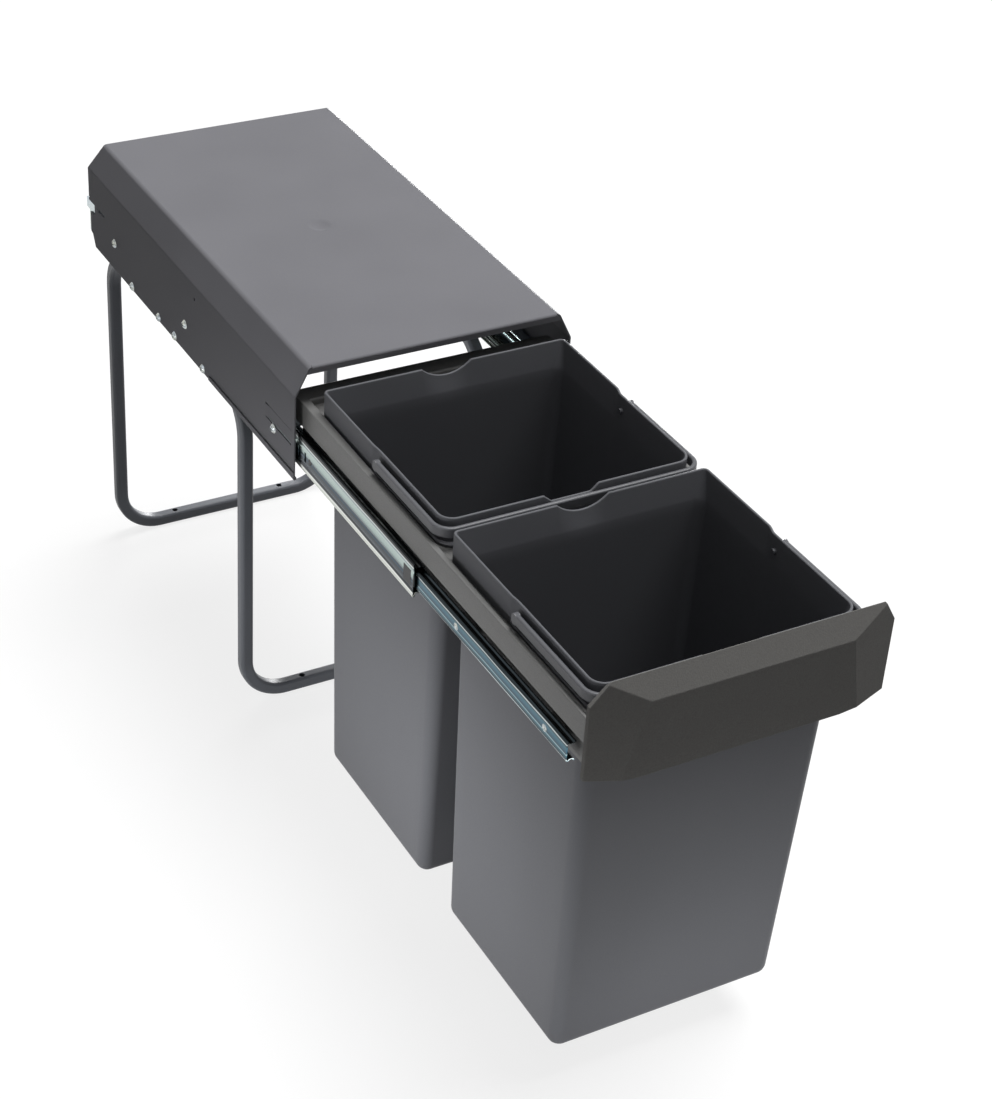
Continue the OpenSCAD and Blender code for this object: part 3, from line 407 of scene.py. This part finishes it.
# the shell as rings of points: outside from the floor up, over the rim and down the inside to the floor;
# also the first ring of the pivots' patches, outside and inside
def binRings(shape, steps):
    columns = binColumns(shape, steps)
    wall, seat, low, high = shape["wall"], shape["seatZ"], shape["lowZ"], shape["highZ"]
    x, y = roundedPlan(shape["low"], columns).T
    # height of the rim: the low rim plus the eased rise to the high one, less the smile at the rear,
    # an arc of a circle, and the two-sided slope of the front notch
    rise = easeStep((y - shape["rampFrom"]) / (shape["rampTo"] - shape["rampFrom"]))
    smileX, smileIn = shape["smile"]
    smileR = (smileX ** 2 + smileIn ** 2) / (2 * smileIn)
    arc = smileIn - smileR + np.sqrt(np.maximum(smileR ** 2 - x ** 2, 0))
    notchLow, notchHigh, notchIn = shape["notch"]
    cut = notchIn * np.clip((notchHigh - abs(x)) / (notchHigh - notchLow), 0, 1)
    atRear, atFront = y > shape["low"][2] - steps["slack"], y < shape["low"][1] + steps["slack"]
    top = low + (high - low) * rise - np.where(atRear, np.maximum(arc, 0), 0) - np.where(atFront, cut, 0)
    rings = []

    def addRing(plan, z):
        rings.append(np.column_stack([plan, np.broadcast_to(z, len(plan))]))

    def planAt(name, by):
        halfX, front, rear, frontR, rearR = shape[name]
        radii = [max(r - by, steps["leastRadius"]) for r in (frontR, rearR)]
        return roundedPlan((halfX - by, front + by, rear - by, *radii), columns)

    # standing wall: the low wall's plan inside the bail, the rim's plan behind it
    def wallPlan(by):
        return between(planAt("low", by), planAt("rim", by), rise)

    # tapered body: foot edge as a quarter circle, then a straight slope up to the seat
    def taperRings(by, footRound, floorZ, flare):
        made = []
        for angle in np.radians(np.linspace(0, 90, steps["footRound"])):
            made.append((planAt("foot", by + footRound * (1 - math.sin(angle))),
                         floorZ + footRound * (1 - math.cos(angle))))
        footPlan = made[-1][0]
        topPlan = between(planAt("body", by), wallPlan(by), flare)
        for share in steps["taper"]:
            made.append((between(footPlan, topPlan, share),
                         floorZ + footRound + share * (seat - floorZ - footRound)))
        return made

    for plan, z in taperRings(0, shape["footRound"], shape["footZ"], 0):
        addRing(plan, z)
    # flange on the carrier's ledge
    full, part = shape["flangeRound"], shape["flangeMid"]
    for by, lift in ((full, 0), (part, part), (0, full), (0, wall - full), (part, wall - part)):
        addRing(planAt("rim", by), seat + lift)
    addRing(between(planAt("rim", full), planAt("rim", 0), rise), seat + wall)
    # standing wall, rings set so that the pivot's patch lies between two of them
    foot = seat + wall
    r = wall / 2
    patchZ = shape["pivot"][1] + np.linspace(-1, 1, steps["patch"]) * shape["patch"]
    shares = np.concatenate([steps["wallFoot"], (patchZ - foot) / (low - r - foot), [1.0]])
    outerStart = len(rings) + len(steps["wallFoot"])
    for share in shares:
        addRing(wallPlan(0), foot + share * (top - r - foot))
    # the rim's edge, a half circle over the wall
    for angle in np.radians(np.linspace(0, 180, steps["rimRound"]))[1:-1]:
        addRing(wallPlan(r - r * math.cos(angle)), top - r + r * math.sin(angle))
    innerStart = len(rings) + 1
    # inside, the body's plan flares evenly into the wall's
    seatFlare = shape["seatFlare"]
    for share in shares[::-1]:
        z = foot + share * (top - r - foot)
        flare = seatFlare + (1 - seatFlare) * (z - seat) / (top - r - seat)
        addRing(between(planAt("body", wall), wallPlan(wall), flare), z)
    inside = taperRings(wall, shape["footRound"] - wall, shape["footZ"] + wall, seatFlare)
    for plan, z in reversed(inside):
        addRing(plan, z)
    return np.stack(rings), outerStart, innerStart


# quads between two closed loops of points
def stitch(first, second):
    return np.column_stack([first, np.roll(first, -1), np.roll(second, -1), second]).tolist()


def makeBin(node, shape, steps):
    rings, outerStart, innerStart = binRings(shape, steps)
    ringCount, count = rings.shape[:2]
    points = rings.reshape(-1, 3)
    grid = np.arange(len(points)).reshape(ringCount, count)
    keep = np.ones((ringCount - 1, count), bool)
    faces = [grid[0][::-1].tolist(), grid[-1].tolist()]
    # pivot holes: a square patch of each wall gives way to a ring around a circle, joined by a short bore
    pivotY, pivotZ, pivotR = shape["pivot"]
    wallX, wallY = rings[outerStart, :, 0], rings[outerStart, :, 1]
    for side in (-1, 1):
        inPatch = (abs(wallY - pivotY) < shape["patch"] + steps["slack"]) & (side * wallX > 0)
        c0, c1 = np.flatnonzero(inPatch)[[0, -1]]
        circles = []
        for r0 in (outerStart, innerStart):
            r1 = r0 + steps["patch"] - 1
            keep[r0:r1, c0:c1] = False
            loop = np.concatenate([grid[r0, c0:c1], grid[r0:r1, c1], grid[r1, c1:c0:-1], grid[r1:r0:-1, c0]])
            x, y, z = points[loop].T
            angles = np.arctan2(z - pivotZ, y - pivotY)
            circle = len(points) + np.arange(len(loop))
            points = np.concatenate([points, np.column_stack(
                [x, pivotY + pivotR * np.cos(angles), pivotZ + pivotR * np.sin(angles)])])
            faces += stitch(loop, circle)
            circles.append((circle, angles))
        (outer, outerAngles), (inner, innerAngles) = circles
        apart = np.angle(np.exp(1j * (innerAngles - outerAngles[:, None])))
        faces += stitch(outer, inner[np.argmin(abs(apart), axis=1)])
    ring, column = np.nonzero(keep)
    after = (column + 1) % count
    faces += np.column_stack([grid[ring, column], grid[ring, after],
                              grid[ring + 1, after], grid[ring + 1, column]]).tolist()

    mesh = bpy.data.meshes.new(node + "_shell")
    mesh.from_pydata(((points + (0, shape["place"][node], 0)) * mm).tolist(), [], faces)
    mesh.polygons.foreach_set("use_smooth", np.ones(len(faces), bool))
    mesh.set_sharp_from_angle(angle=math.radians(steps["sharp"]))
    mesh.materials.append(finishes[slotOf[node]])
    standIn(addObject(node + "_shell", mesh), node)
    print(node, "shell:", len(points), "points")


# the carrier's rim, a wide flat band that reaches out over the slides; millimetres
rimShape = {
    "wall": 113.3, "inner": 112.1, "reach": 119.0, "under": 364.6, "lip": 0.2,
    "corner": 8.0, "rear": -257.0, "front": -728.0,
    "cornerSlack": 0.1, "rearSlack": 0.05, "faceDepth": 0.3,
}


def widenRim(points):
    look = rimShape
    x, y, z = points.T
    raised = z >= look["under"] + look["lip"] / 2
    frontCorner = y <= look["front"] + look["corner"] + look["cornerSlack"]
    rearCorner = y >= look["rear"] - look["corner"] - look["cornerSlack"]
    atCorner = (abs(x) > look["wall"] - look["corner"] - look["cornerSlack"]) & (frontCorner | rearCorner)
    outer = raised & (atCorner | (abs(x) > look["inner"]))
    # the rear wall's outer face, a quarter circle at each end
    across = np.maximum(abs(x) - look["wall"] + look["corner"], 0)
    past = y - look["rear"] + look["corner"]
    onFace = (past > -look["rearSlack"]) & (np.hypot(across, past) > look["corner"] - look["faceDepth"])
    by = look["reach"] - look["wall"]
    points[:, 0] += np.where(outer, np.copysign(by, x), 0)
    points[:, 1] += np.where(raised & onFace, by, 0)


# the bails lie outside the bins' rims, their straps raised above the pins; millimetres
strapShape = {
    "inside": 106.7, "corner": 94.7, "cornerY": -180.0, "out": 4.2, "pinR": 2.6,
    "upper": 394.2, "raise": 4.0, "lower": 389.8, "lift": 3.0,
}


def shiftStrap(binY, points):
    look = strapShape
    pivotY, pivotZ, _ = binShape["pivot"]
    x, y, z = points[:, 0], points[:, 1] - binY, points[:, 2]
    outer = (abs(x) > look["inside"]) | ((abs(x) > look["corner"]) & (y < look["cornerY"]))
    offPin = np.hypot(y - pivotY, z - pivotZ) > look["pinR"]
    up = np.where(z > look["upper"], look["raise"], np.where(z < look["lower"], look["lift"], 0))
    points[:, 0] += np.where(outer, np.copysign(look["out"], x), 0)
    points[:, 2] += np.where(offPin, up, 0)


# the panel's top runs to an edge at the front and slopes away behind it; millimetres
panelShape = {"top": 415.0, "edge": -729.0, "edgeRise": 1.7, "fall": 5.6}


def slopePanelTop(points):
    look = panelShape
    by = np.where(points[:, 1] > look["edge"], -look["fall"], look["edgeRise"])
    points[:, 2] += np.where(points[:, 2] > look["top"], by, 0)


# the round dimple in the cover's top, a bowl that deepens with the square of the way in; millimetres
dimpleShape = {"middleY": -54.0, "radius": 12.0, "above": 410.0, "deeper": 1.5}


def deepenDimple(points):
    look = dimpleShape
    x, y, z = points.T
    way = np.hypot(x, y - look["middleY"]) / look["radius"]
    points[:, 2] -= np.where((way < 1) & (z > look["above"]), look["deeper"] * (1 - way * way), 0)


# the ends of the cover's front lip, run out to the folded corners; millimetres
lipShape = {
    "endFrom": 111.6, "endTo": 111.8, "behind": -274.7, "over": 410.0, "under": 417.0,
    "cornerX": 114.0, "cornerZ": 416.4, "slant": 0.49,
}


def closeLip(points):
    look = lipShape
    x, y, z = points.T
    inEnd = (abs(x) > look["endFrom"]) & (abs(x) < look["endTo"]) & (y < look["behind"])
    inLip = (z > look["over"]) & (z < look["under"])
    corner = look["cornerX"] + look["slant"] * (look["cornerZ"] - z)
    points[:, 0] = np.where(inEnd & inLip, np.copysign(corner, x), x)


# heights at which a solid is cut so that only what lies above moves, and the moves themselves
cutHeights = {"bin_carrier": (rimShape["under"], rimShape["under"] + rimShape["lip"])}
reshapes = {
    "top_cover": (deepenDimple, closeLip),
    "bin_carrier": (widenRim,),
    "rear_bail": (partial(shiftStrap, binShape["place"]["rear_bin"]),),
    "front_bail": (partial(shiftStrap, binShape["place"]["front_bin"]),),
    "front_panel": (slopePanelTop,),
}


def movePoints(mesh, move):
    flat = np.empty(len(mesh.vertices) * 3, np.float32)
    mesh.vertices.foreach_get("co", flat)
    points = flat.reshape(-1, 3).astype(float) / mm
    move(points)
    mesh.vertices.foreach_set("co", (points * mm).astype(np.float32).ravel())
    mesh.update()


# sharp edges broken, as pressing, bending and moulding leave them; millimetres and degrees
edgeLook = {"merge": 0.002, "flat": 0.4, "sharp": 28.0, "segments": 2}
edgeWidths = {
    "top_cover": 0.35, "front_leg": 0.3, "rear_leg": 0.3, "leg_screws": 0.25, "slide_screws": 0.25,
    "left_outer_rail": 0.2, "right_outer_rail": 0.2, "left_middle_rail": 0.2, "right_middle_rail": 0.2,
    "left_inner_rail": 0.2, "right_inner_rail": 0.2, "left_middle_stops": 0.2, "right_middle_stops": 0.2,
    "bin_carrier": 0.6, "front_panel": 1.2, "rear_bail": 1.2, "front_bail": 1.2,
}


def softEdged(node, width, look):
    sharpAngle = math.radians(look["sharp"])
    mesh = frame["nodes"][node].data.copy()
    mesh.name = node + "_shell"
    shape = bmesh.new()
    shape.from_mesh(mesh)
    bmesh.ops.remove_doubles(shape, verts=shape.verts, dist=look["merge"] * mm)
    bmesh.ops.dissolve_limit(shape, angle_limit=math.radians(look["flat"]),
                             verts=shape.verts, edges=shape.edges)
    for height in cutHeights.get(node, ()):
        bmesh.ops.bisect_plane(shape, geom=shape.verts[:] + shape.edges[:] + shape.faces[:],
                               plane_co=(0, 0, height * mm), plane_no=(0, 0, 1))
    shape.to_mesh(mesh)
    shape.free()
    for move in reshapes.get(node, ()):
        movePoints(mesh, move)
    mesh.polygons.foreach_set("use_smooth", np.ones(len(mesh.polygons), bool))
    mesh.set_sharp_from_angle(angle=sharpAngle)
    mesh.materials.clear()
    mesh.materials.append(railPaintedLight.get(node.split("_", 1)[1], finishes[slotOf[node]]))
    piece = addObject(node + "_shell", mesh)
    bevel = piece.modifiers.new("brokenEdges", "BEVEL")
    bevel.width = width * mm
    bevel.segments = look["segments"]
    bevel.limit_method = "ANGLE"
    bevel.angle_limit = sharpAngle
    bevel.use_clamp_overlap = True
    weights = piece.modifiers.new("flatFaces", "WEIGHTED_NORMAL")
    weights.keep_sharp = True
    standIn(piece, node)


for node, width in edgeWidths.items():
    softEdged(node, width, edgeLook)
print("soft edges:", len(edgeWidths), "pieces")

for node in binShape["place"]:
    makeBin(node, binShape, binSteps)

# the solids that still show
for node, shown in frame["nodes"].items():
    if not shown.hide_render:
        shown.data.materials.clear()
        shown.data.materials.append(finishes[slotOf[node]])


# stage: a white floor that keeps a soft shadow, a white surround, two wide sky lamps and three softboxes
stageSet = {"floorReach": 14.0, "floorTone": 0.17, "floorLift": 0.8, "ambient": 0.11, "skyDistance": 3.0}
skyLamps = {
    "overhead": {"towards": (0.3, 0.05, 1.0), "angle": 36, "strength": 4.05},
    "frontal": {"towards": (-0.15, -0.6, 1.0), "angle": 25, "strength": 0.2},
}
softboxes = {
    "leftFill": {"place": (-1.35, -0.75, 0.1), "target": (-0.1, -0.46, 0.1), "size": (0.5, 0.3),
                 "power": 0.98, "spread": 30},
    "lowFront": {"place": (0.05, -1.02, 0.015), "target": (0, -0.7, 0.06), "size": (0.3, 0.05),
                 "power": 0.24, "spread": 85},
    "rearFill": {"place": (0.95, 1.05, 0.34), "target": (0, -0.25, 0.24), "size": (0.8, 0.12),
                 "power": 3.5, "spread": 70},
}
white = (1, 1, 1, 1)


# 1 for the camera's rays and for those that metal and glass send on, else 0
def whiteForCamera(tree):
    path = addNode(tree, "LightPath").outputs
    seen = combine(tree, "MAXIMUM", path["Is Camera Ray"], path["Is Glossy Ray"])
    return combine(tree, "MAXIMUM", seen, path["Is Transmission Ray"])


def makeFloor(look):
    r = look["floorReach"]
    mesh = bpy.data.meshes.new("floor")
    mesh.from_pydata([(-r, -r, 0), (r, -r, 0), (r, r, 0), (-r, r, 0)], [], [(0, 1, 2, 3)])
    material, tree, shader = startMaterial("floorWhite")
    tree.nodes.remove(shader)
    dull = addNode(tree, "BsdfDiffuse", {"Color": (look["floorTone"],) * 3 + (1,)})
    lift = combine(tree, "MULTIPLY", whiteForCamera(tree), look["floorLift"])
    glow = addNode(tree, "Emission", {"Color": white, "Strength": lift})
    both = addNode(tree, "AddShader", {0: dull.outputs[0], 1: glow.outputs[0]})
    setInputs(tree, tree.nodes["Material Output"], {"Surface": both.outputs[0]})
    mesh.materials.append(material)
    addObject("floor", mesh)


def makeWorld(look):
    scene.world = bpy.data.worlds.new("studio")
    scene.world.use_nodes = True
    tree = scene.world.node_tree
    level = spread(tree, whiteForCamera(tree), look["ambient"], 1.0, 0, 1)
    setInputs(tree, tree.nodes["Background"], {"Color": white, "Strength": level})


def addSkyLamp(name, look):
    light = bpy.data.lights.new(name, "SUN")
    light.angle = math.radians(look["angle"])
    light.energy = look["strength"]
    lamp = addObject(name, light)
    lamp.location = Vector(look["towards"]) * stageSet["skyDistance"]
    lamp.rotation_euler = Vector(look["towards"]).to_track_quat("Z", "Y").to_euler()


def addSoftbox(name, look):
    light = bpy.data.lights.new(name, "AREA")
    light.shape = "RECTANGLE"
    light.spread = math.radians(look["spread"])
    light.size, light.size_y = look["size"]
    light.energy = look["power"]
    lamp = addObject(name, light)
    lamp.location = look["place"]
    facing = Vector(look["target"]) - Vector(look["place"])
    lamp.rotation_euler = facing.to_track_quat("-Z", "Y").to_euler()


makeFloor(stageSet)
makeWorld(stageSet)
for name, look in skyLamps.items():
    addSkyLamp(name, look)
for name, look in softboxes.items():
    addSoftbox(name, look)
print("stage lit")
